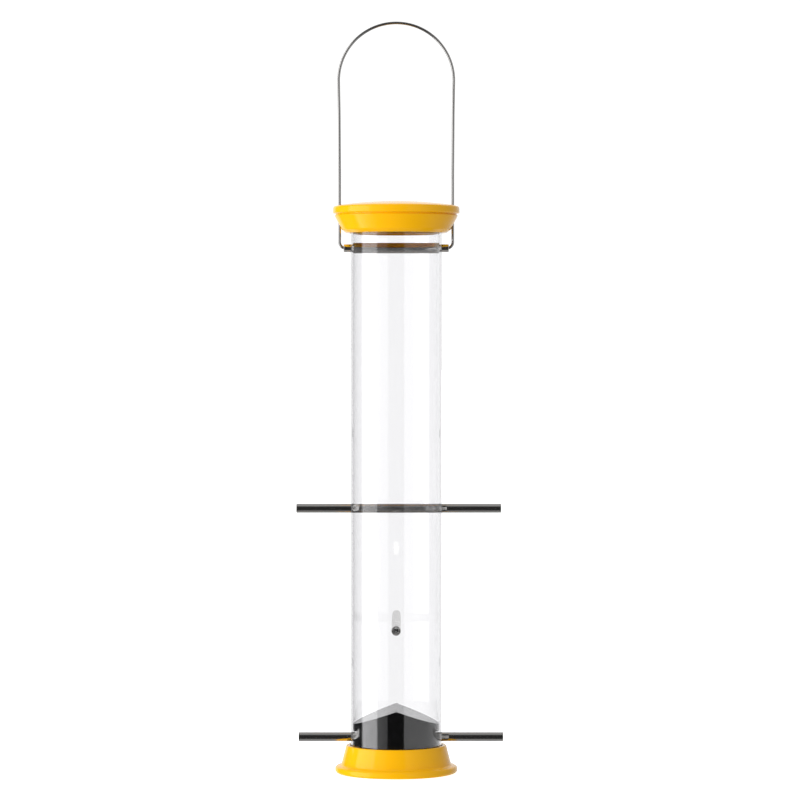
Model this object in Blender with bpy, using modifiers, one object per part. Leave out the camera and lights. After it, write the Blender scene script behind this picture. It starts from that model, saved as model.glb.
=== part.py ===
"""Hanging tube feeder for small birds.

A clear plastic tube stands in a flared metal base. Three hollow steel perches run right through it,
with seed slots in the tube wall above each of them. A wire bail hooks into a bar across the top of the
tube and carries the lid, which slides up the wire for filling. +Z is up and +X is along the upper perch.
"""

import math

import bmesh
import bpy
from mathutils import Matrix, Vector

MM = 0.001
COLLECTION = "hanging_bird_feeder"
CUTTER_COLLECTION = "cutters"

ROUND_STEPS = 64  # sides of the large turned pieces
SMALL_STEPS = 24  # sides of perches, bars and round holes
FIT_GAP = 0.3 * MM  # between pieces that touch

# Feeder tube
TUBE_RADIUS = 31.75 * MM
TUBE_WALL = 1.2 * MM
TUBE_BORE = TUBE_RADIUS - TUBE_WALL
TUBE_BOTTOM = 5.3 * MM
TUBE_TOP = 384.0 * MM

# Perches, with the lowest and highest along X and the middle one along Y
PERCH_RADIUS = 3.175 * MM
PERCH_WALL = 0.5 * MM
PERCH_LENGTH = 142.5 * MM
LOWER_PERCH_Z = 24.9 * MM
PERCH_SPACING = 79.6 * MM
MIDDLE_PERCH_Z = LOWER_PERCH_Z + PERCH_SPACING
UPPER_PERCH_Z = MIDDLE_PERCH_Z + PERCH_SPACING
LOWER_PERCH_SHIFT = 3.2 * MM
UPPER_PERCH_SHIFT = 1.7 * MM
CRIMP_FROM_CENTRE = 30.75 * MM
CRIMP_HALF_LENGTH = 2.3 * MM
CRIMP_DEPTH = 0.6 * MM
CRIMP_RAMP = 0.7 * MM

# Seed slots
SLOT_ABOVE_PERCH = 52.0 * MM
SLOT_WIDTH = 3.5 * MM
SLOT_HEIGHT = 6.0 * MM

# Bar across the top of the tube, with a bushing at each end
BAR_Z = 365.0 * MM
BAR_RADIUS = 3.7 * MM
BAR_BORE = 3.05 * MM
BAR_HALF_LENGTH = TUBE_BORE - 0.4 * MM
BUSHING_RADIUS = BAR_BORE - FIT_GAP
BUSHING_BORE = 1.45 * MM
BUSHING_INNER_X = 24.0 * MM
BUSHING_OUTER_X = 36.5 * MM

# Bail wire
WIRE_RADIUS = 1.0 * MM
LEG_X = 39.3 * MM
LOWER_BEND_RADIUS = 4.0 * MM
WIRE_END_X = 26.0 * MM
ARCH_RADIUS = 40.0 * MM
ARCH_Z = 481.3 * MM

# Lid
LID_BOTTOM = 375.2 * MM
LID_SKIRT_BORE = 32.6 * MM
LID_BOTTOM_RADIUS = 33.6 * MM
LID_GROOVE_Z = 388.2 * MM
LID_GROOVE_RADIUS = 42.8 * MM
LID_RIM_RADIUS = 44.1 * MM
LID_RIM_Z = 391.2 * MM
LID_RIM_TOP = 393.7 * MM
LID_TOP = 397.7 * MM
LID_CEILING = TUBE_TOP + 1.1 * MM
LID_CENTRE_CEILING = 391.8 * MM
PLUG_RADIUS = 29.9 * MM
PLUG_BORE = 27.5 * MM
PLUG_BOTTOM = 374.6 * MM
WIRE_HOLE_RADIUS = 2.1 * MM

# Base
BASE_TOP = 19.3 * MM
BASE_BORE = TUBE_RADIUS + 0.4 * MM
BASE_TOP_RADIUS = 34.9 * MM
BASE_WAIST_RADIUS = 38.2 * MM
BASE_WAIST_Z = 6.9 * MM
BASE_FLANGE_RADIUS = 42.6 * MM
BASE_BEAD = 2.5 * MM
BASE_FLOOR = TUBE_BOTTOM - FIT_GAP
BASE_UNDERSIDE = 3.0 * MM
FOOT_INNER_RADIUS = 36.6 * MM
DRAIN_RADIUS = 2.5 * MM
DRAIN_CIRCLE = 17.0 * MM
DRAIN_COUNT = 6
RING_RADIUS = 0.9 * MM
RING_Z = 11.5 * MM
RING_GROOVE_RADIUS = 34.3 * MM
RING_GROOVE_HALF = 1.25 * MM

# Seed baffle
BAFFLE_RADIUS = TUBE_BORE - 0.4 * MM
BAFFLE_WALL = 2.0 * MM
BAFFLE_CORE_RADIUS = 25.0 * MM
BAFFLE_BOTTOM = BASE_FLOOR + FIT_GAP
BAFFLE_EAVES = 34.4 * MM
BAFFLE_RIDGE = 45.3 * MM
BAFFLE_SLOPE = (BAFFLE_RIDGE - BAFFLE_EAVES) / BAFFLE_RADIUS
POCKET_DEPTH = 3.7 * MM  # of the sloping pocket above each end of the lower perch hole
POCKET_FLOOR = 23.0 * MM
POCKET_ROOF = 29.9 * MM

YELLOW = (0.955, 0.445, 0.004, 1.0)
STEEL = (0.56, 0.55, 0.54, 1.0)
CLEAR = (0.93, 0.93, 0.97, 0.22)
BLACK = (0.012, 0.012, 0.013, 1.0)
RUBBER = (0.02, 0.02, 0.02, 1.0)


def clear_scene():
    for obj in list(bpy.data.objects):
        bpy.data.objects.remove(obj, do_unlink=True)


def new_collection(name):
    collection = bpy.data.collections.new(name)
    bpy.context.scene.collection.children.link(collection)
    return collection


def material(name, colour, roughness, metallic=0.0):
    """A Principled material of one plain colour."""
    mat = bpy.data.materials.new(name)
    mat.use_nodes = True
    shader = mat.node_tree.nodes["Principled BSDF"]
    shader.inputs["Base Color"].default_value = colour
    shader.inputs["Alpha"].default_value = colour[3]
    shader.inputs["Roughness"].default_value = roughness
    shader.inputs["Metallic"].default_value = metallic
    mat.diffuse_color = colour
    return mat


def add_object(name, data, collection, mat=None, location=(0.0, 0.0, 0.0)):
    obj = bpy.data.objects.new(name, data)
    obj.location = location
    collection.objects.link(obj)
    if mat:
        obj.data.materials.append(mat)
    return obj


def mesh_from(bm, name, smooth=True):
    """The finished mesh of a bmesh, with its faces turned outward."""
    bm.normal_update()
    bmesh.ops.recalc_face_normals(bm, faces=bm.faces)
    for face in bm.faces:
        face.smooth = smooth
    mesh = bpy.data.meshes.new(name)
    bm.to_mesh(mesh)
    bm.free()
    return mesh


def arc(centre_r, centre_z, radius, start, end, count):
    """Points of a round stretch of an outline, with its angles in degrees from +R towards +Z."""
    points = []
    for i in range(count + 1):
        angle = math.radians(start + (end - start) * i / count)
        points.append((centre_r + radius * math.cos(angle), centre_z + radius * math.sin(angle)))
    return points


def turned(name, outline, collection, mat, closed=False, steps=ROUND_STEPS, location=(0.0, 0.0, 0.0)):
    """A round piece: an outline of (radius, height) points turned about Z by a Screw modifier."""
    bm = bmesh.new()
    verts = [bm.verts.new((r, 0.0, z)) for r, z in outline]
    for a, b in zip(verts, verts[1:]):
        bm.edges.new((a, b))
    if closed:
        bm.edges.new((verts[-1], verts[0]))
    mesh = bpy.data.meshes.new(name)
    bm.to_mesh(mesh)
    bm.free()
    obj = add_object(name, mesh, collection, mat, location)
    screw = obj.modifiers.new("Turn", "SCREW")
    screw.axis = "Z"
    screw.steps = steps
    screw.render_steps = steps
    screw.use_merge_vertices = True
    screw.merge_threshold = 0.00001
    screw.use_smooth_shade = True
    return obj


def cylinder_mesh(name, radius, length, steps=SMALL_STEPS, axis="Z"):
    """A closed cylinder about its own middle, along the given axis."""
    bm = bmesh.new()
    bmesh.ops.create_cone(
        bm, cap_ends=True, segments=steps, radius1=radius, radius2=radius, depth=length
    )
    if axis != "Z":
        turn = Matrix.Rotation(math.radians(90.0), 3, "Y" if axis == "X" else "X")
        bmesh.ops.rotate(bm, cent=(0.0, 0.0, 0.0), matrix=turn, verts=bm.verts)
    return mesh_from(bm, name)


def cut(target, name, mesh, location, cutters):
    """Take a cutter's shape out of a piece."""
    cutter = add_object(name, mesh, cutters, location=location)
    cutter.hide_render = True
    cutter.display_type = "WIRE"
    boolean = target.modifiers.new(name, "BOOLEAN")
    boolean.operation = "DIFFERENCE"
    boolean.solver = "EXACT"
    boolean.object = cutter


def slot_mesh(name, axis):
    """An upright slot with round ends, running through both walls of the tube."""
    mesh = cylinder_mesh(name, SLOT_WIDTH / 2, 4 * TUBE_RADIUS, axis=axis)
    stretch = (SLOT_HEIGHT - SLOT_WIDTH) / 2
    for vert in mesh.vertices:
        if abs(vert.co.z) > 0.01 * SLOT_WIDTH:
            vert.co.z += math.copysign(stretch, vert.co.z)
    return mesh


def feeder_tube(parts, cutters):
    outline = [
        (TUBE_RADIUS, TUBE_TOP),
        (TUBE_RADIUS, TUBE_BOTTOM),
        (TUBE_BORE, TUBE_BOTTOM),
        (TUBE_BORE, TUBE_TOP),
    ]
    mat = material("clear_plastic", CLEAR, 0.03)
    tube = turned("feeder_tube", outline, parts, mat, closed=True)
    through = 4 * TUBE_RADIUS
    levels = (("lower", LOWER_PERCH_Z, "X"), ("middle", MIDDLE_PERCH_Z, "Y"), ("upper", UPPER_PERCH_Z, "X"))
    for label, height, axis in levels:
        hole = cylinder_mesh(f"{label}_perch_hole", PERCH_RADIUS + 0.35 * MM, through, axis=axis)
        cut(tube, f"cut_{label}_perch_hole", hole, (0.0, 0.0, height), cutters)
        slot = slot_mesh(f"{label}_seed_slot", axis)
        cut(tube, f"cut_{label}_seed_slot", slot, (0.0, 0.0, height + SLOT_ABOVE_PERCH), cutters)
    bar_hole = cylinder_mesh("bar_hole", BUSHING_RADIUS + FIT_GAP, through, axis="X")
    cut(tube, "cut_bar_hole", bar_hole, (0.0, 0.0, BAR_Z), cutters)


def spacer_bar(parts, steel):
    """The hollow bar between the tube walls that keeps the bail's ends apart."""
    outline = [
        (BAR_RADIUS, BAR_HALF_LENGTH),
        (BAR_RADIUS, -BAR_HALF_LENGTH),
        (BAR_BORE, -BAR_HALF_LENGTH),
        (BAR_BORE, BAR_HALF_LENGTH),
    ]
    bar = turned("spacer_bar", outline, parts, steel, True, SMALL_STEPS, (0.0, 0.0, BAR_Z))
    bar.rotation_euler = (0.0, math.radians(90.0), 0.0)


def bail_bushing(name, side, parts, steel):
    """A sleeve through one tube wall, with its inner end in the spacer bar."""
    outline = [
        (BUSHING_RADIUS, BUSHING_OUTER_X),
        (BUSHING_RADIUS, BUSHING_INNER_X),
        (BUSHING_BORE, BUSHING_INNER_X),
        (BUSHING_BORE, BUSHING_OUTER_X),
    ]
    bushing = turned(name, outline, parts, steel, True, SMALL_STEPS, (0.0, 0.0, BAR_Z))
    bushing.rotation_euler = (0.0, math.radians(90.0) * side, 0.0)


def bail_wire_half():
    """Centreline of one half of the bail, from its end in the bushing up to the top of the arch."""
    bend = Vector((LEG_X - LOWER_BEND_RADIUS, 0.0, LOWER_BEND_RADIUS))
    points = [Vector((WIRE_END_X, 0.0, 0.0))]
    for i in range(7):
        angle = math.radians(-90.0 + 15.0 * i)
        points.append(bend + LOWER_BEND_RADIUS * Vector((math.cos(angle), 0.0, math.sin(angle))))
    arch_height = ARCH_Z - BAR_Z
    points.append(Vector((LEG_X, 0.0, 0.45 * arch_height)))
    points.append(Vector((0.6 * LEG_X + 0.4 * ARCH_RADIUS, 0.0, 0.8 * arch_height)))
    for i in range(17):
        angle = math.radians(90.0 * i / 16)
        points.append(Vector((ARCH_RADIUS * math.cos(angle), 0.0, arch_height + ARCH_RADIUS * math.sin(angle))))
    return points


def bail_wire(parts, steel):
    """The bent wire loop, with its origin on the axis of the bar that its ends turn in."""
    half = bail_wire_half()
    mirrored = [Vector((-p.x, p.y, p.z)) for p in reversed(half[:-1])]
    points = half + mirrored
    curve = bpy.data.curves.new("bail_wire", "CURVE")
    curve.dimensions = "3D"
    curve.bevel_depth = WIRE_RADIUS
    curve.bevel_resolution = 2
    curve.use_fill_caps = True
    spline = curve.splines.new("POLY")
    spline.points.add(len(points) - 1)
    spline.use_smooth = True
    for point, place in zip(spline.points, points):
        point.co = (place.x, place.y, place.z, 1.0)
    add_object("bail_wire", curve, parts, steel, (0.0, 0.0, BAR_Z))


def lid(parts, cutters, yellow):
    """The cast lid: low dome, rolled rim, tapering skirt and a plug ring that enters the tube."""
    dome_edge = LID_GROOVE_RADIUS - 2.0 * MM
    outline = []
    for i in range(6):
        r = dome_edge * i / 5
        outline.append((r, LID_TOP - (LID_TOP - LID_RIM_TOP) * (r / dome_edge) ** 2))
    rim_radius = LID_RIM_TOP - LID_RIM_Z
    outline += arc(LID_RIM_RADIUS - rim_radius, LID_RIM_Z, rim_radius, 60.0, -35.0, 5)
    outline += [
        (LID_GROOVE_RADIUS + 0.3 * MM, LID_GROOVE_Z + 0.5 * MM),
        (LID_GROOVE_RADIUS, LID_GROOVE_Z),
    ]
    corner = 3.0 * MM
    outline += arc(LID_BOTTOM_RADIUS + 1.6 * MM, LID_BOTTOM + corner, corner, -28.0, -90.0, 5)
    outline += [
        (LID_BOTTOM_RADIUS, LID_BOTTOM),
        (LID_SKIRT_BORE, LID_BOTTOM + 0.4 * MM),
        (LID_SKIRT_BORE, LID_CEILING),
        (PLUG_RADIUS, LID_CEILING),
        (PLUG_RADIUS, PLUG_BOTTOM + 0.6 * MM),
        (PLUG_RADIUS - 0.6 * MM, PLUG_BOTTOM),
        (PLUG_BORE, PLUG_BOTTOM),
        (PLUG_BORE, LID_CENTRE_CEILING),
        (0.0, LID_CENTRE_CEILING),
    ]
    cap = turned("lid", outline, parts, yellow)
    for label, side in (("left", -1), ("right", 1)):
        hole = cylinder_mesh(f"{label}_wire_hole", WIRE_HOLE_RADIUS, 40 * MM)
        cut(cap, f"cut_{label}_wire_hole", hole, (side * LEG_X, 0.0, LID_RIM_Z), cutters)


def perch_mesh(name):
    """A hollow perch along Z, with a flat pressed into its front near each tube wall."""
    half = PERCH_LENGTH / 2
    ramp = CRIMP_HALF_LENGTH + CRIMP_RAMP
    stations = [(-half, 0.0)]
    for centre in (-CRIMP_FROM_CENTRE, CRIMP_FROM_CENTRE):
        stations += [
            (centre - ramp, 0.0),
            (centre - CRIMP_HALF_LENGTH, CRIMP_DEPTH),
            (centre + CRIMP_HALF_LENGTH, CRIMP_DEPTH),
            (centre + ramp, 0.0),
        ]
    stations.append((half, 0.0))
    outer = [(PERCH_RADIUS, z, depth) for z, depth in reversed(stations)]
    inner = [(PERCH_RADIUS - PERCH_WALL, z, depth) for z, depth in stations]
    bm = bmesh.new()
    rings = []
    for radius, z, depth in outer + inner:
        ring = []
        for i in range(SMALL_STEPS):
            angle = 2 * math.pi * i / SMALL_STEPS
            y = max(radius * math.sin(angle), depth - radius)
            ring.append(bm.verts.new((radius * math.cos(angle), y, z)))
        rings.append(ring)
    for ring, after in zip(rings, rings[1:] + rings[:1]):
        for i in range(SMALL_STEPS):
            j = (i + 1) % SMALL_STEPS
            bm.faces.new((ring[i], ring[j], after[j], after[i]))
    return mesh_from(bm, name)


def perch(name, height, shift, axis, parts, steel):
    location = (shift, 0.0, height) if axis == "X" else (0.0, shift, height)
    obj = add_object(name, perch_mesh(name), parts, steel, location)
    if axis == "X":
        obj.rotation_euler = (0.0, math.radians(90.0), 0.0)
    else:
        obj.rotation_euler = (math.radians(90.0), 0.0, 0.0)


def roofed_cylinder(name, radius, bottom, eaves, ridge):
    """A cylinder whose top is two flat slopes that meet in a ridge along Y."""
    bm = bmesh.new()
    bmesh.ops.create_cone(
        bm, cap_ends=True, segments=ROUND_STEPS, radius1=radius, radius2=radius, depth=2 * radius
    )
    everything = bm.verts[:] + bm.edges[:] + bm.faces[:]
    bmesh.ops.bisect_plane(bm, geom=everything, plane_co=(0.0, 0.0, 0.0), plane_no=(1.0, 0.0, 0.0))
    slope = (ridge - eaves) / radius
    for vert in bm.verts:
        vert.co.z = ridge - slope * abs(vert.co.x) if vert.co.z > 0 else bottom
    return mesh_from(bm, name, smooth=False)


def pocket_mesh(name, side):
    """A block outside the baffle's wall, cut back along a slope that runs out at its bottom edge."""
    bm = bmesh.new()
    bmesh.ops.create_cube(bm, size=1.0)
    outside = BAFFLE_RADIUS + 1 * MM
    for vert in bm.verts:
        high = vert.co.z > 0
        reach = BAFFLE_RADIUS - POCKET_DEPTH if high else BAFFLE_RADIUS - 0.1 * MM
        vert.co = Vector((
            side * (reach if vert.co.x < 0 else outside),
            vert.co.y * 2 * BAFFLE_RADIUS,
            POCKET_ROOF if high else POCKET_FLOOR,
        ))
    return mesh_from(bm, name, smooth=False)


def seed_baffle(parts, cutters):
    """The hollow roof that sends seed towards the tube wall, open below and pinned by the lower perch."""
    mesh = roofed_cylinder("seed_baffle", BAFFLE_RADIUS, BAFFLE_BOTTOM, BAFFLE_EAVES, BAFFLE_RIDGE)
    baffle = add_object("seed_baffle", mesh, parts, material("black_plastic", BLACK, 0.15))
    core = roofed_cylinder(
        "baffle_core",
        BAFFLE_CORE_RADIUS,
        BAFFLE_BOTTOM - 5 * MM,
        BAFFLE_EAVES - BAFFLE_WALL + BAFFLE_SLOPE * (BAFFLE_RADIUS - BAFFLE_CORE_RADIUS),
        BAFFLE_RIDGE - BAFFLE_WALL,
    )
    cut(baffle, "cut_baffle_core", core, (0.0, 0.0, 0.0), cutters)
    hole = cylinder_mesh("baffle_perch_hole", PERCH_RADIUS + 0.45 * MM, 4 * TUBE_RADIUS, axis="X")
    cut(baffle, "cut_baffle_perch_hole", hole, (0.0, 0.0, LOWER_PERCH_Z), cutters)
    for label, side in (("left", -1), ("right", 1)):
        cut(baffle, f"cut_{label}_pocket", pocket_mesh(f"{label}_pocket", side), (0.0, 0.0, 0.0), cutters)


def base_shell(parts, cutters, yellow):
    """The cast cup that the tube stands in, with a flared foot and drain holes."""
    bead_centre = BASE_FLANGE_RADIUS - BASE_BEAD
    outline = [
        (0.0, BASE_FLOOR),
        (BASE_BORE, BASE_FLOOR),
        (BASE_BORE, RING_Z - RING_GROOVE_HALF),
        (RING_GROOVE_RADIUS, RING_Z - RING_GROOVE_HALF),
        (RING_GROOVE_RADIUS, RING_Z + RING_GROOVE_HALF),
        (BASE_BORE, RING_Z + RING_GROOVE_HALF),
        (BASE_BORE, BASE_TOP - 0.5 * MM),
        (BASE_BORE + 0.4 * MM, BASE_TOP),
    ]
    lip = 1.0 * MM
    outline += arc(BASE_TOP_RADIUS - lip, BASE_TOP - lip, lip, 90.0, 15.0, 3)
    fillet = 2.2 * MM
    outline += arc(BASE_WAIST_RADIUS + fillet, BASE_WAIST_Z + 0.2 * MM, fillet, 195.0, 260.0, 4)
    outline += arc(bead_centre, BASE_BEAD, BASE_BEAD, 75.0, -90.0, 7)
    outline += [
        (FOOT_INNER_RADIUS, 0.0),
        (FOOT_INNER_RADIUS - 0.8 * MM, BASE_UNDERSIDE),
        (0.0, BASE_UNDERSIDE),
    ]
    base = turned("base_shell", outline, parts, yellow)
    for i in range(DRAIN_COUNT):
        angle = 2 * math.pi * i / DRAIN_COUNT
        place = (DRAIN_CIRCLE * math.cos(angle), DRAIN_CIRCLE * math.sin(angle), BASE_FLOOR)
        drain = cylinder_mesh(f"drain_hole_{i + 1}", DRAIN_RADIUS, 12 * MM, steps=16)
        cut(base, f"cut_drain_hole_{i + 1}", drain, place, cutters)


def base_ring(parts):
    """The rubber ring in the base's groove that grips the tube."""
    mat = material("rubber", RUBBER, 0.7)
    ring_centre = TUBE_RADIUS + FIT_GAP + RING_RADIUS
    outline = arc(ring_centre, RING_Z, RING_RADIUS, 0.0, -315.0, 7)
    turned("base_ring", outline, parts, mat, closed=True)


def main():
    clear_scene()
    parts = new_collection(COLLECTION)
    cutters = new_collection(CUTTER_COLLECTION)
    yellow = material("yellow_enamel", YELLOW, 0.3)
    steel = material("stainless_steel", STEEL, 0.25, 1.0)
    feeder_tube(parts, cutters)
    spacer_bar(parts, steel)
    bail_bushing("bail_bushing_left", -1, parts, steel)
    bail_bushing("bail_bushing_right", 1, parts, steel)
    bail_wire(parts, steel)
    lid(parts, cutters, yellow)
    perch("upper_perch", UPPER_PERCH_Z, UPPER_PERCH_SHIFT, "X", parts, steel)
    perch("middle_perch", MIDDLE_PERCH_Z, 0.0, "Y", parts, steel)
    perch("lower_perch", LOWER_PERCH_Z, LOWER_PERCH_SHIFT, "X", parts, steel)
    seed_baffle(parts, cutters)
    base_shell(parts, cutters, yellow)
    base_ring(parts)


main()
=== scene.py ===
"""Hanging tube feeder: the finished look of each piece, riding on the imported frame."""

import math

import bmesh
import bpy
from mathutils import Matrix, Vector


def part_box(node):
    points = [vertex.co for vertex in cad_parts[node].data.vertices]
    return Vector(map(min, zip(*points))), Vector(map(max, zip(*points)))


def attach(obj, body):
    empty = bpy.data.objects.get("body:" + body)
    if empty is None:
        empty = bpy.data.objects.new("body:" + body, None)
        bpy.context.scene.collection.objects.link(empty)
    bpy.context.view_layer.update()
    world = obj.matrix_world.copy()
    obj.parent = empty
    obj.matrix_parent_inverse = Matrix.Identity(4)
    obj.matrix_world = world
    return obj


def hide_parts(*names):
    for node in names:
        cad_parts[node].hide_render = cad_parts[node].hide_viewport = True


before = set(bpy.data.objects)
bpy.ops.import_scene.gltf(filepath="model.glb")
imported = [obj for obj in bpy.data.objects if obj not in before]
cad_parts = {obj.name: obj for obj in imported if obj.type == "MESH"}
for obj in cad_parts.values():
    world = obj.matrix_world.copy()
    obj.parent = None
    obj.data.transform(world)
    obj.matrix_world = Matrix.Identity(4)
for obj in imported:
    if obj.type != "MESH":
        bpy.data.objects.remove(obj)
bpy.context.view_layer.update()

MM = 0.001
TURN_STEPS = 192
SMALL_STEPS = 64
FILLET_STEPS = 6

# Places read from the frame
tube_low, tube_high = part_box("feeder_tube")
TUBE_RADIUS = tube_high.x
TUBE_BOTTOM = tube_low.z
TUBE_TOP = tube_high.z
TUBE_WALL = 1.2 * MM
TUBE_BORE = TUBE_RADIUS - TUBE_WALL

PERCH_RADIUS = 3.175 * MM
PERCH_WALL = 0.5 * MM
CRIMP_FROM_CENTRE = 30.75 * MM
CRIMP_HALF_LENGTH = 2.3 * MM
CRIMP_DEPTH = 0.6 * MM
CRIMP_RAMP = 0.7 * MM
SLOT_ABOVE_PERCH = 52.0 * MM
SLOT_WIDTH = 3.5 * MM
SLOT_HEIGHT = 6.0 * MM
BAR_BORE = 3.05 * MM
BUSHING_BORE = 1.45 * MM
LEG_X = 39.3 * MM
WIRE_BEND = 4.0 * MM
WIRE_END_X = 26.0 * MM
WIRE_HOLE_RADIUS = 2.1 * MM
CUTTER_STEPS = 48


def middle(node):
    low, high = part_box(node)
    return (low + high) / 2


# ---------------------------------------------------------------- materials


def new_material(name):
    mat = bpy.data.materials.new(name)
    mat.use_nodes = True
    tree = mat.node_tree
    return mat, tree, tree.nodes["Principled BSDF"]


def object_noise(tree, scale, detail=2.0, stretch=(1.0, 1.0, 1.0)):
    """A noise in the object's own metres, drawn out along an axis whose stretch is a small factor."""
    coordinates = tree.nodes.new("ShaderNodeTexCoord")
    mapping = tree.nodes.new("ShaderNodeMapping")
    mapping.inputs["Scale"].default_value = stretch
    noise = tree.nodes.new("ShaderNodeTexNoise")
    noise.inputs["Scale"].default_value = scale
    noise.inputs["Detail"].default_value = detail
    tree.links.new(coordinates.outputs["Object"], mapping.inputs["Vector"])
    tree.links.new(mapping.outputs["Vector"], noise.inputs["Vector"])
    return noise.outputs["Fac"]


def drive(tree, factor, socket, low, high):
    """Spread the middle of a noise's range over a range of values of one socket."""
    spread = tree.nodes.new("ShaderNodeMapRange")
    spread.inputs["From Min"].default_value = 0.3
    spread.inputs["From Max"].default_value = 0.7
    spread.inputs["To Min"].default_value = low
    spread.inputs["To Max"].default_value = high
    tree.links.new(factor, spread.inputs["Value"])
    tree.links.new(spread.outputs["Result"], socket)


def bump(tree, shader, height, strength, distance):
    node = tree.nodes.new("ShaderNodeBump")
    node.inputs["Strength"].default_value = strength
    node.inputs["Distance"].default_value = distance
    tree.links.new(height, node.inputs["Height"])
    tree.links.new(node.outputs["Normal"], shader.inputs["Normal"])


def two_tone(tree, factor, socket, first, second):
    mix = tree.nodes.new("ShaderNodeMix")
    mix.data_type = "RGBA"
    mix.inputs["A"].default_value = (*first, 1.0)
    mix.inputs["B"].default_value = (*second, 1.0)
    tree.links.new(factor, mix.inputs["Factor"])
    tree.links.new(mix.outputs["Result"], socket)


def clear_plastic():
    """Extruded polycarbonate, with the faint lengthwise waviness of the extrusion."""
    mat, tree, shader = new_material("clear_polycarbonate")
    shader.inputs["Base Color"].default_value = (1.0, 1.0, 1.0, 1.0)
    shader.inputs["Transmission Weight"].default_value = 1.0
    shader.inputs["IOR"].default_value = 1.585
    drive(tree, object_noise(tree, 60.0), shader.inputs["Roughness"], 0.0, 0.012)
    bump(tree, shader, object_noise(tree, 120.0, 1.0, (1.0, 1.0, 0.02)), 0.03, 0.0002)
    absorb = tree.nodes.new("ShaderNodeVolumeAbsorption")
    absorb.inputs["Color"].default_value = (0.62, 0.58, 0.86, 1.0)
    absorb.inputs["Density"].default_value = 22.0
    tree.links.new(absorb.outputs["Volume"], tree.nodes["Material Output"].inputs["Volume"])
    return mat


def powder_coat():
    """Semi-gloss yellow powder coat with a fine orange-peel surface."""
    mat, tree, shader = new_material("yellow_powder_coat")
    tone = object_noise(tree, 45.0)
    two_tone(tree, tone, shader.inputs["Base Color"], (0.98, 0.485, 0.0015), (1.0, 0.505, 0.002))
    drive(tree, object_noise(tree, 900.0), shader.inputs["Roughness"], 0.10, 0.15)
    shader.inputs["Specular IOR Level"].default_value = 0.3
    bump(tree, shader, object_noise(tree, 700.0, 1.0), 0.06, 0.0001)
    return mat


def drawn_steel(name, axis, colour, roughness):
    """Drawn stainless steel with fine scratches along its length."""
    mat, tree, shader = new_material(name)
    shader.inputs["Metallic"].default_value = 1.0
    stretch = tuple(0.02 if letter == axis else 1.0 for letter in "XYZ")
    lines = object_noise(tree, 2500.0, 3.0, stretch)
    darker = tuple(0.90 * c for c in colour)
    two_tone(tree, lines, shader.inputs["Base Color"], darker, colour)
    drive(tree, lines, shader.inputs["Roughness"], roughness - 0.05, roughness + 0.06)
    bump(tree, shader, lines, 0.08, 0.00005)
    return mat


def tube_steel(node, axis, colour, roughness):
    """Drawn steel tube whose bore, told by its distance from the axis, is dull and dark."""
    mat = drawn_steel(f"{node}_steel", axis, colour, roughness)
    tree = mat.node_tree
    shader = tree.nodes["Principled BSDF"]
    across = tuple(0.0 if letter == axis else 1.0 for letter in "XYZ")
    offset = tree.nodes.new("ShaderNodeVectorMath")
    offset.operation = "SUBTRACT"
    offset.inputs[1].default_value = middle(node)
    tree.links.new(tree.nodes.new("ShaderNodeTexCoord").outputs["Object"], offset.inputs[0])
    flat = tree.nodes.new("ShaderNodeVectorMath")
    flat.operation = "MULTIPLY"
    flat.inputs[1].default_value = across
    tree.links.new(offset.outputs["Vector"], flat.inputs[0])
    length = tree.nodes.new("ShaderNodeVectorMath")
    length.operation = "LENGTH"
    tree.links.new(flat.outputs["Vector"], length.inputs[0])
    outside = tree.nodes.new("ShaderNodeMath")
    outside.operation = "GREATER_THAN"
    outside.inputs[1].default_value = PERCH_RADIUS - 0.8 * PERCH_WALL
    tree.links.new(length.outputs["Value"], outside.inputs[0])
    for name, bore_value, outer_value in (("Metallic", 0.3, 1.0), ("Specular IOR Level", 0.1, 0.5)):
        blend = tree.nodes.new("ShaderNodeMapRange")
        blend.inputs["To Min"].default_value = bore_value
        blend.inputs["To Max"].default_value = outer_value
        tree.links.new(outside.outputs["Value"], blend.inputs["Value"])
        tree.links.new(blend.outputs["Result"], shader.inputs[name])
    return mat


def black_plastic():
    """Glossy injection-moulded black plastic."""
    mat, tree, shader = new_material("glossy_black_plastic")
    tone = object_noise(tree, 200.0)
    two_tone(tree, tone, shader.inputs["Base Color"], (0.006, 0.006, 0.007), (0.010, 0.010, 0.011))
    drive(tree, object_noise(tree, 500.0), shader.inputs["Roughness"], 0.10, 0.16)
    bump(tree, shader, object_noise(tree, 90.0, 1.0), 0.05, 0.0002)
    return mat


def ring_rubber():
    mat, tree, shader = new_material("ring_rubber")
    tone = object_noise(tree, 800.0)
    two_tone(tree, tone, shader.inputs["Base Color"], (0.012, 0.012, 0.012), (0.022, 0.022, 0.022))
    drive(tree, tone, shader.inputs["Roughness"], 0.6, 0.8)
    return mat


# ------------------------------------------------------------------ shapes


def filleted(corners, closed=False):
    """An outline through (r, z, fillet radius) corners, with a round arc at each filleted one."""
    count = len(corners)
    outline = []
    for i, (r, z, radius) in enumerate(corners):
        here = Vector((r, z))
        inside = closed or 0 < i < count - 1
        if not radius or not inside:
            outline.append((r, z))
            continue
        before = (Vector(corners[i - 1][:2]) - here).normalized()
        after = (Vector(corners[(i + 1) % count][:2]) - here).normalized()
        half = before.angle(after) / 2
        centre = here + (before + after).normalized() * (radius / math.sin(half))
        reach = radius / math.tan(half)
        start = here + before * reach - centre
        end = here + after * reach - centre
        sweep = math.copysign(math.pi - 2 * half, start.x * end.y - start.y * end.x)
        for k in range(FILLET_STEPS + 1):
            angle = sweep * k / FILLET_STEPS
            x = start.x * math.cos(angle) - start.y * math.sin(angle)
            y = start.x * math.sin(angle) + start.y * math.cos(angle)
            outline.append((centre.x + x, centre.y + y))
    return outline


pieces = []


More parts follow.
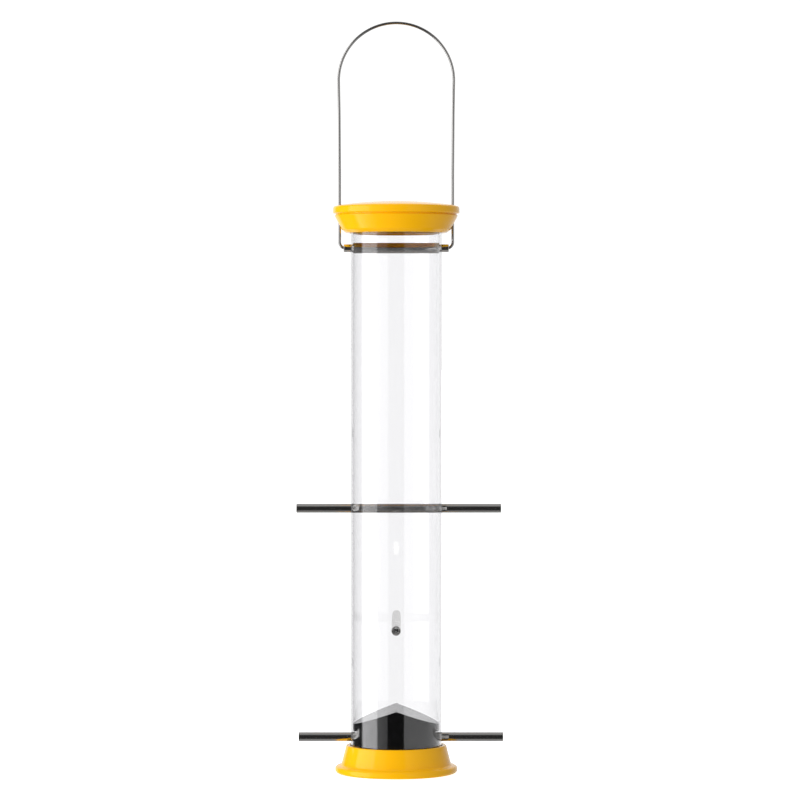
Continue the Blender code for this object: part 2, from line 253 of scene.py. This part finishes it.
def finished(bm, name, mat, body, replaced):
    """Turn a bmesh into a smooth piece that rides a body and stands for CAD nodes."""
    bmesh.ops.recalc_face_normals(bm, faces=bm.faces)
    for face in bm.faces:
        face.smooth = True
    mesh = bpy.data.meshes.new(name)
    bm.to_mesh(mesh)
    bm.free()
    obj = bpy.data.objects.new(name, mesh)
    bpy.context.scene.collection.objects.link(obj)
    mesh.materials.append(mat)
    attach(obj, body)
    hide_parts(replaced)
    pieces.append(obj)
    return obj


def revolve(outline, closed=False, steps=TURN_STEPS, axis="Z", centre=(0.0, 0.0, 0.0)):
    """A bmesh of an outline turned about an axis through the centre; points on the axis become poles."""
    bm = bmesh.new()
    rings = []
    for r, h in outline:
        count = 1 if r < 1e-7 else steps
        ring = []
        for i in range(count):
            angle = 2 * math.pi * i / steps
            a, b = r * math.cos(angle), r * math.sin(angle)
            place = Vector((h, a, b) if axis == "X" else (a, b, h))
            ring.append(bm.verts.new(place + Vector(centre)))
        rings.append(ring)
    pairs = list(zip(rings, rings[1:]))
    if closed:
        pairs.append((rings[-1], rings[0]))
    for low, high in pairs:
        for i in range(steps):
            j = (i + 1) % steps
            corners = [low[i % len(low)], low[j % len(low)], high[j % len(high)], high[i % len(high)]]
            unique = list(dict.fromkeys(corners))
            if len(unique) > 2:
                bm.faces.new(unique)
    return bm


def bore_cutter(name, radius, length, axis, centre, stretch=0.0):
    """A hidden round bar that a Boolean takes away, its section stretched up and down if asked."""
    end = length / 2
    bm = revolve([(0.0, end), (radius, end), (radius, -end), (0.0, -end)], steps=CUTTER_STEPS)
    for vert in bm.verts:
        x, y, z = vert.co
        if axis == "X":
            vert.co = Vector((z, y, x))
        elif axis == "Y":
            vert.co = Vector((y, z, x))
        if stretch and abs(vert.co.z) > 0.02 * radius:
            vert.co.z += math.copysign(stretch, vert.co.z)
        vert.co += Vector(centre)
    bmesh.ops.recalc_face_normals(bm, faces=bm.faces)
    mesh = bpy.data.meshes.new(name)
    bm.to_mesh(mesh)
    bm.free()
    return bpy.data.objects.new(name, mesh)


def cut(obj, cutters):
    """Apply Boolean cuts to a piece, then smooth its faces and drop the cutters."""
    for cutter in cutters:
        bpy.context.scene.collection.objects.link(cutter)
        boolean = obj.modifiers.new(cutter.name, "BOOLEAN")
        boolean.operation = "DIFFERENCE"
        boolean.solver = "EXACT"
        boolean.object = cutter
    bpy.context.view_layer.update()
    graph = bpy.context.evaluated_depsgraph_get()
    mesh = bpy.data.meshes.new_from_object(obj.evaluated_get(graph))
    mesh.name = obj.name
    obj.modifiers.clear()
    obj.data = mesh
    mesh.shade_smooth()
    mesh.set_sharp_from_angle(angle=math.radians(40.0))
    for cutter in cutters:
        bpy.data.objects.remove(cutter)


def true_round(obj, radii):
    """Set radial normals on the round walls at these radii, in place of those that a Boolean leaves."""
    mesh = obj.data
    normals = [Vector(corner.vector) for corner in mesh.corner_normals]
    for face in mesh.polygons:
        if abs(face.normal.z) > 0.1:
            continue
        for loop in face.loop_indices:
            place = mesh.vertices[mesh.loops[loop].vertex_index].co
            radial = Vector((place.x, place.y, 0.0))
            on_wall = any(abs(radial.length - radius) < 0.05 * MM for radius in radii)
            facing = face.normal.dot(radial.normalized())
            if on_wall and abs(facing) > 0.97:
                normals[loop] = radial.normalized() * math.copysign(1.0, facing)
    mesh.normals_split_custom_set(normals)


# ------------------------------------------------------------------ pieces


def make_tube(mat):
    """The clear tube, with its perch and bar holes and a pair of seed slots above each perch."""
    edge = 0.4 * MM
    corners = [
        (TUBE_RADIUS, TUBE_TOP, edge),
        (TUBE_RADIUS, TUBE_BOTTOM, edge),
        (TUBE_BORE, TUBE_BOTTOM, edge),
        (TUBE_BORE, TUBE_TOP, edge),
    ]
    bm = revolve(filleted(corners, closed=True), closed=True, steps=3 * TURN_STEPS)
    tube = finished(bm, "tube_clear", mat, "feeder_body", "feeder_tube")
    through = 4 * TUBE_RADIUS
    stretch = (SLOT_HEIGHT - SLOT_WIDTH) / 2
    cutters = []
    hole_radius = PERCH_RADIUS + 0.35 * MM
    for node, axis in (("lower_perch", "X"), ("middle_perch", "Y"), ("upper_perch", "X")):
        height = middle(node).z
        cutters.append(bore_cutter(f"hole_{node}", hole_radius, through, axis, (0.0, 0.0, height)))
        slot_height = height + SLOT_ABOVE_PERCH
        cutters.append(
            bore_cutter(f"slot_{node}", SLOT_WIDTH / 2, through, axis, (0.0, 0.0, slot_height), stretch)
        )
    bar = middle("spacer_bar")
    cutters.append(bore_cutter("hole_bar", BAR_BORE, through, "X", (0.0, 0.0, bar.z)))
    cut(tube, cutters)
    true_round(tube, (TUBE_RADIUS, TUBE_BORE))


def make_bar(mat):
    """The spacer bar and the two bushings that carry the bail's ends through the tube."""
    low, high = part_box("spacer_bar")
    bar = (low + high) / 2
    outer = (high.z - low.z) / 2
    corners = [
        (outer, high.x, 0.5 * MM),
        (outer, low.x, 0.5 * MM),
        (BAR_BORE, low.x, 0.0),
        (BAR_BORE, high.x, 0.0),
    ]
    bm = revolve(filleted(corners, True), True, SMALL_STEPS, "X", (0.0, 0.0, bar.z))
    finished(bm, "spacer_bar_turned", mat, "feeder_body", "spacer_bar")
    for side in ("left", "right"):
        node = f"bail_bushing_{side}"
        low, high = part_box(node)
        radius = (high.z - low.z) / 2
        corners = [
            (radius, high.x, 0.35 * MM),
            (radius, low.x, 0.35 * MM),
            (BUSHING_BORE, low.x, 0.2 * MM),
            (BUSHING_BORE, high.x, 0.2 * MM),
        ]
        bm = revolve(filleted(corners, True), True, SMALL_STEPS, "X", (0.0, 0.0, bar.z))
        finished(bm, f"{node}_turned", mat, "feeder_body", node)


def make_bail(mat):
    """The bent wire as one smooth curve from end to end."""
    low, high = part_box("bail_wire")
    wire = (high.y - low.y) / 2
    bar_z = low.z + wire
    arch_radius = high.x - wire
    arch_z = high.z - wire - arch_radius
    half = [Vector((WIRE_END_X, 0.0, bar_z))]
    for i in range(13):
        angle = math.radians(-90.0 + 7.5 * i)
        x = LEG_X - WIRE_BEND + WIRE_BEND * math.cos(angle)
        half.append(Vector((x, 0.0, bar_z + WIRE_BEND + WIRE_BEND * math.sin(angle))))
    rise = arch_z - bar_z
    half.append(Vector((LEG_X, 0.0, bar_z + 0.45 * rise)))
    half.append(Vector((0.6 * LEG_X + 0.4 * arch_radius, 0.0, bar_z + 0.8 * rise)))
    for i in range(49):
        angle = math.radians(90.0 * i / 48)
        half.append(Vector((arch_radius * math.cos(angle), 0.0, arch_z + arch_radius * math.sin(angle))))
    points = half + [Vector((-p.x, p.y, p.z)) for p in reversed(half[:-1])]
    curve = bpy.data.curves.new("bail_bent", "CURVE")
    curve.dimensions = "3D"
    curve.bevel_depth = wire
    curve.bevel_resolution = 6
    curve.use_fill_caps = True
    spline = curve.splines.new("POLY")
    spline.points.add(len(points) - 1)
    for point, place in zip(spline.points, points):
        point.co = (*place, 1.0)
    spline.use_smooth = True
    obj = bpy.data.objects.new("bail_bent", curve)
    bpy.context.scene.collection.objects.link(obj)
    curve.materials.append(mat)
    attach(obj, "bail")
    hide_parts("bail_wire")


def make_lid(mat):
    """The lid in section: dome, rim, groove and skirt outside, then skirt, tube seat and plug inside."""
    low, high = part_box("lid")
    top = high.z
    rim = high.x
    skirt_edge = 34.9 * MM
    skirt_bore = 32.6 * MM
    plug = 29.9 * MM
    plug_bore = 27.5 * MM
    plug_bottom = low.z
    skirt_bottom = plug_bottom + 0.9 * MM
    ceiling = TUBE_TOP + 1.1 * MM
    centre_ceiling = top - 5.9 * MM
    rim_top = top - 3.0 * MM
    groove = skirt_bottom + 13.0 * MM
    neck = rim - 2.0 * MM
    corners = [(0.0, top, 0.0)]
    dome_edge = rim - 3.4 * MM
    dome_steps = 8
    for i in range(1, dome_steps + 1):
        r = dome_edge * i / dome_steps
        corners.append((r, top - (top - rim_top) * (r / dome_edge) ** 2, 0.0))
    corners += [
        (rim - 0.2 * MM, rim_top - 0.9 * MM, 1.7 * MM),
        (rim, groove + 0.6 * MM, 1.1 * MM),
        (neck, groove + 0.3 * MM, 0.3 * MM),
        (neck, groove - 0.3 * MM, 0.3 * MM),
        (rim - 1.2 * MM, groove - 0.9 * MM, 0.5 * MM),
        (rim - 6.3 * MM, skirt_bottom + 2.2 * MM, 3.0 * MM),
        (skirt_edge, skirt_bottom, 2.2 * MM),
        (skirt_bore, skirt_bottom, 0.3 * MM),
        (skirt_bore, ceiling, 0.3 * MM),
        (plug, ceiling, 0.3 * MM),
        (plug, plug_bottom, 0.4 * MM),
        (plug_bore, plug_bottom, 0.4 * MM),
        (plug_bore, centre_ceiling, 0.5 * MM),
        (0.0, centre_ceiling, 0.0),
    ]
    bm = revolve(filleted(corners))
    lid = finished(bm, "lid_cast", mat, "lid_body", "lid")
    cut(lid, [
        bore_cutter(f"wire_hole_{side}", WIRE_HOLE_RADIUS, 40 * MM, "Z", (side * LEG_X, 0.0, rim_top))
        for side in (-1, 1)
    ])


def smooth_step(x):
    x = min(1.0, max(0.0, x))
    return x * x * (3.0 - 2.0 * x)


def crimp_depth(along):
    """How far the front of a perch is pressed in, at a distance from its middle."""
    from_crimp = abs(abs(along) - CRIMP_FROM_CENTRE) - CRIMP_HALF_LENGTH
    return CRIMP_DEPTH * (1.0 - smooth_step(from_crimp / CRIMP_RAMP))


def make_perch(node, body, axis, mat):
    """A hollow perch with rounded ends and two pressed flats."""
    low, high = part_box(node)
    centre = (low + high) / 2
    half = (high - low)["XYZ".index(axis)] / 2
    edge = 0.15 * MM
    bore = PERCH_RADIUS - PERCH_WALL
    stations = [half - edge]
    for i in range(13):
        stations.append(CRIMP_FROM_CENTRE + (CRIMP_HALF_LENGTH + CRIMP_RAMP) * (1 - i / 6))
    stations += [-s for s in reversed(stations)]
    outline = [(PERCH_RADIUS - edge, half)]
    outline += [(PERCH_RADIUS, s) for s in stations]
    outline += [(PERCH_RADIUS - edge, -half), (bore + edge, -half)]
    outline += [(bore, s) for s in reversed(stations)]
    outline.append((bore + edge, half))
    bm = revolve(outline, True, SMALL_STEPS, "X")
    for vert in bm.verts:
        radius = math.hypot(vert.co.y, vert.co.z)
        depth = crimp_depth(vert.co.x)
        if depth > 0:
            vert.co.y = max(vert.co.y, depth - radius)
        if axis == "Y":
            vert.co = Vector((vert.co.z, -vert.co.x, vert.co.y))
        vert.co += centre
    obj = finished(bm, f"{node}_tube", mat, body, node)
    obj.data.set_sharp_from_angle(angle=math.radians(50.0))


def pocket_cutter(name, side, radius):
    """The pocket outside the lower perch's end of the baffle, which slopes out at its bottom edge."""
    perch_z = middle("lower_perch").z
    floor_reach = radius - 0.1 * MM
    roof_reach = radius - 3.7 * MM
    bm = bmesh.new()
    bmesh.ops.create_cube(bm, size=1.0)
    for vert in bm.verts:
        above = vert.co.z > 0
        reach = roof_reach if above else floor_reach
        x = reach if vert.co.x < 0 else radius + 1 * MM
        z = perch_z + (5.0 * MM if above else -1.9 * MM)
        vert.co = Vector((side * x, vert.co.y * 2 * radius, z))
    bm.normal_update()
    bmesh.ops.recalc_face_normals(bm, faces=bm.faces)
    mesh = bpy.data.meshes.new(name)
    bm.to_mesh(mesh)
    bm.free()
    return bpy.data.objects.new(name, mesh)


def make_baffle(mat):
    """The black roof that sends seed outward: a round skirt whose two slopes meet along Y."""
    low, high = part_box("seed_baffle")
    radius = high.x
    eaves = low.z + 29.1 * MM
    slope = (high.z - eaves) / radius
    bm = bmesh.new()
    bmesh.ops.create_cone(
        bm, cap_ends=True, segments=128, radius1=radius, radius2=radius, depth=2 * radius
    )
    everything = bm.verts[:] + bm.edges[:] + bm.faces[:]
    bmesh.ops.bisect_plane(bm, geom=everything, plane_co=(0, 0, 0), plane_no=(1, 0, 0))
    for vert in bm.verts:
        vert.co.z = high.z - slope * abs(vert.co.x) if vert.co.z > 0 else low.z
    baffle = finished(bm, "baffle_moulded", mat, "feeder_body", "seed_baffle")
    core_radius = 25.0 * MM
    hole_radius = PERCH_RADIUS + 0.45 * MM
    cut(baffle, [
        bore_cutter("baffle_core", core_radius, 40 * MM, "Z", (0, 0, low.z + 7 * MM)),
        bore_cutter("baffle_hole", hole_radius, 4 * radius, "X", (0, 0, middle("lower_perch").z)),
        pocket_cutter("left_pocket", -1, radius),
        pocket_cutter("right_pocket", 1, radius),
    ])
    baffle.data.set_sharp_from_angle(angle=math.radians(15.0))
    soften = baffle.modifiers.new("Soften", "BEVEL")
    soften.width = 0.3 * MM
    soften.segments = 2
    soften.limit_method = "ANGLE"
    soften.angle_limit = math.radians(18.0)


def make_base(mat):
    """The base cup in section, from the middle of its floor round to its underside, with six drains."""
    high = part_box("base_shell")[1]
    ring_low, ring_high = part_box("base_ring")
    ring_room = 0.35 * MM
    top, flange = high.z, high.x
    lip = 34.8 * MM
    foot_bore = 36.6 * MM
    bead = 2.5 * MM
    bore = TUBE_RADIUS + 0.4 * MM
    floor = TUBE_BOTTOM - 0.3 * MM
    underside = floor - 2.0 * MM
    waist = flange - 4.4 * MM
    groove = 34.3 * MM
    corners = [
        (0.0, floor, 0.0),
        (bore, floor, 0.3 * MM),
        (bore, ring_low.z - ring_room, 0.0),
        (groove, ring_low.z - ring_room, 0.0),
        (groove, ring_high.z + ring_room, 0.0),
        (bore, ring_high.z + ring_room, 0.0),
        (bore, top, 0.5 * MM),
        (lip, top, 0.9 * MM),
        (waist + 0.2 * MM, 2.2 * bead, 1.8 * MM),
        (flange - 0.8 * bead, 2.1 * bead, 0.9 * MM),
        (flange, 1.7 * bead, 1.9 * MM),
        (flange, 0.0, 2.2 * MM),
        (foot_bore, 0.0, 0.3 * MM),
        (foot_bore - 0.8 * MM, underside, 0.3 * MM),
        (0.0, underside, 0.0),
    ]
    base = finished(revolve(filleted(corners)), "base_cast", mat, "base", "base_shell")
    drains = []
    drain_radius = 2.5 * MM
    drain_circle = 17.0 * MM
    for i in range(6):
        angle = math.radians(60.0 * i)
        place = (drain_circle * math.cos(angle), drain_circle * math.sin(angle), floor)
        drains.append(bore_cutter(f"drain_{i}", drain_radius, 12 * MM, "Z", place))
    cut(base, drains)


# -------------------------------------------------------- floor, light, camera


def make_floor():
    """A plain white floor that the camera sees, and that glass and reflections leave out."""
    bm = bmesh.new()
    bmesh.ops.create_grid(bm, x_segments=1, y_segments=1, size=30.0)
    mesh = bpy.data.meshes.new("floor")
    bm.to_mesh(mesh)
    bm.free()
    floor = bpy.data.objects.new("floor", mesh)
    floor.location.z = -0.2 * MM
    bpy.context.scene.collection.objects.link(floor)
    mat, _, shader = new_material("floor_white")
    shader.inputs["Base Color"].default_value = (0.9, 0.9, 0.9, 1.0)
    shader.inputs["Roughness"].default_value = 0.9
    shader.inputs["Emission Color"].default_value = (1.0, 1.0, 1.0, 1.0)
    shader.inputs["Emission Strength"].default_value = 0.85
    mesh.materials.append(mat)
    floor.visible_diffuse = False
    floor.visible_glossy = False
    floor.visible_transmission = False


STUDIO = (
    # degrees round from the camera's side towards +X, brightness
    (-180, 1.0), (-150, 0.9), (-140, 0.05), (-100, 0.05), (-93, 2.4), (-52, 2.4), (-48, 0.5),
    (-24, 0.35), (-21, 0.03), (19, 0.03), (21, 0.62), (120, 0.62), (150, 0.9), (180, 1.0),
)
STUDIO_PEAK = 2.4
ROOM = (
    # height from straight down, 0, to straight up, 1, and brightness
    (0.0, 0.4), (0.04, 0.3), (0.1, 0.08), (0.35, 0.06), (0.65, 0.14), (0.9, 0.2), (0.97, 0.4), (1.0, 0.5),
)
STEEP = (0.62, 0.75)
BACKDROP = 1.12
SIDE_FALL = -0.85


def calculate(tree, operation, *values):
    """A Math node on numbers or sockets."""
    node = tree.nodes.new("ShaderNodeMath")
    node.operation = operation
    for socket, value in zip(node.inputs, values):
        if isinstance(value, (int, float)):
            socket.default_value = value
        else:
            tree.links.new(value, socket)
    return node.outputs[0]


def background(tree, colour, strength):
    """A Background shader whose colour and strength are numbers or sockets."""
    node = tree.nodes.new("ShaderNodeBackground")
    for socket, value in ((node.inputs["Color"], colour), (node.inputs["Strength"], strength)):
        if isinstance(value, (int, float)):
            socket.default_value = (value,) * 3 + (1.0,) if socket.name == "Color" else value
        else:
            tree.links.new(value, socket)
    return node.outputs[0]


def blend_shaders(tree, factor, first, second):
    node = tree.nodes.new("ShaderNodeMixShader")
    tree.links.new(factor, node.inputs["Fac"])
    tree.links.new(first, node.inputs[1])
    tree.links.new(second, node.inputs[2])
    return node.outputs[0]


def ramp_colours(tree, factor, stops, peak):
    """A colour ramp of greys through (place from 0 to 1, brightness) stops, scaled so the peak is white."""
    ramp = tree.nodes.new("ShaderNodeValToRGB")
    tree.links.new(factor, ramp.inputs["Fac"])
    elements = ramp.color_ramp.elements
    elements[0].position, elements[1].position = 0.0, 1.0
    for place, _ in stops[1:-1]:
        elements.new(place)
    for element, (_, level) in zip(elements, stops):
        element.color = (level / peak,) * 3 + (1.0,)
    return ramp.outputs["Color"]


def make_world():
    """Plain white behind the object, soft light from the left, and softboxes seen in reflections."""
    world = bpy.data.worlds.new("studio")
    world.use_nodes = True
    world.cycles.sampling_method = "NONE"
    bpy.context.scene.world = world
    tree = world.node_tree
    direction = tree.nodes.new("ShaderNodeTexCoord").outputs["Generated"]
    split = tree.nodes.new("ShaderNodeSeparateXYZ")
    tree.links.new(direction, split.inputs["Vector"])
    x, y, z = split.outputs

    around = calculate(tree, "ARCTAN2", x, calculate(tree, "MULTIPLY", y, -1.0))
    turn = calculate(tree, "ADD", calculate(tree, "DIVIDE", around, 2 * math.pi), 0.5)
    stops = [((degrees + 180) / 360, level) for degrees, level in STUDIO]
    softboxes = background(tree, ramp_colours(tree, turn, stops, STUDIO_PEAK), STUDIO_PEAK)

    height = calculate(tree, "MULTIPLY_ADD", z, 0.5, 0.5)
    room = background(tree, ramp_colours(tree, height, ROOM, 1.0), 1.0)
    steepness = tree.nodes.new("ShaderNodeMapRange")
    steepness.inputs["From Min"].default_value = STEEP[0]
    steepness.inputs["From Max"].default_value = STEEP[1]
    tree.links.new(calculate(tree, "ABSOLUTE", z), steepness.inputs["Value"])
    reflected = blend_shaders(tree, steepness.outputs["Result"], softboxes, room)

    soft = calculate(tree, "MULTIPLY_ADD", x, SIDE_FALL, 1.0)
    path = tree.nodes.new("ShaderNodeLightPath")
    lit = blend_shaders(tree, path.outputs["Is Diffuse Ray"], reflected, background(tree, 1.0, soft))
    bounces = calculate(tree, "ADD", path.outputs["Glossy Depth"], path.outputs["Diffuse Depth"])
    straight = calculate(tree, "LESS_THAN", bounces, 0.5)
    seen = blend_shaders(tree, straight, lit, background(tree, 1.0, BACKDROP))
    tree.links.new(seen, tree.nodes["World Output"].inputs["Surface"])


def make_camera():
    """A studio view from the front, above the middle of the tube and about a degree down."""
    data = bpy.data.cameras.new("camera")
    data.sensor_width = 36.0
    data.lens = 159.3
    data.clip_start = 0.1
    data.clip_end = 100.0
    camera = bpy.data.objects.new("camera", data)
    camera.location = (2.6 * MM, -2.462, 0.3033)
    camera.rotation_euler = (math.radians(90.0 - 1.02), 0.0, 0.0)
    bpy.context.scene.collection.objects.link(camera)
    bpy.context.scene.camera = camera
    bpy.context.scene.view_settings.view_transform = "Standard"


make_floor()
make_world()
make_camera()
yellow = powder_coat()
make_tube(clear_plastic())
make_bar(drawn_steel("bar_metal", "X", (0.78, 0.76, 0.73), 0.14))
make_bail(drawn_steel("wire_steel", "Z", (0.52, 0.51, 0.50), 0.18))
make_lid(yellow)
for node, axis in (("upper_perch", "X"), ("middle_perch", "Y"), ("lower_perch", "X")):
    make_perch(node, f"{node}_body", axis, tube_steel(node, axis, (0.60, 0.59, 0.575), 0.16))
make_baffle(black_plastic())
make_base(yellow)
for piece in pieces:
    if piece.name != "tube_clear":
        piece.modifiers.new("Even shading", "WEIGHTED_NORMAL").keep_sharp = True
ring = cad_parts["base_ring"]
ring.data.materials.clear()
ring.data.materials.append(ring_rubber())
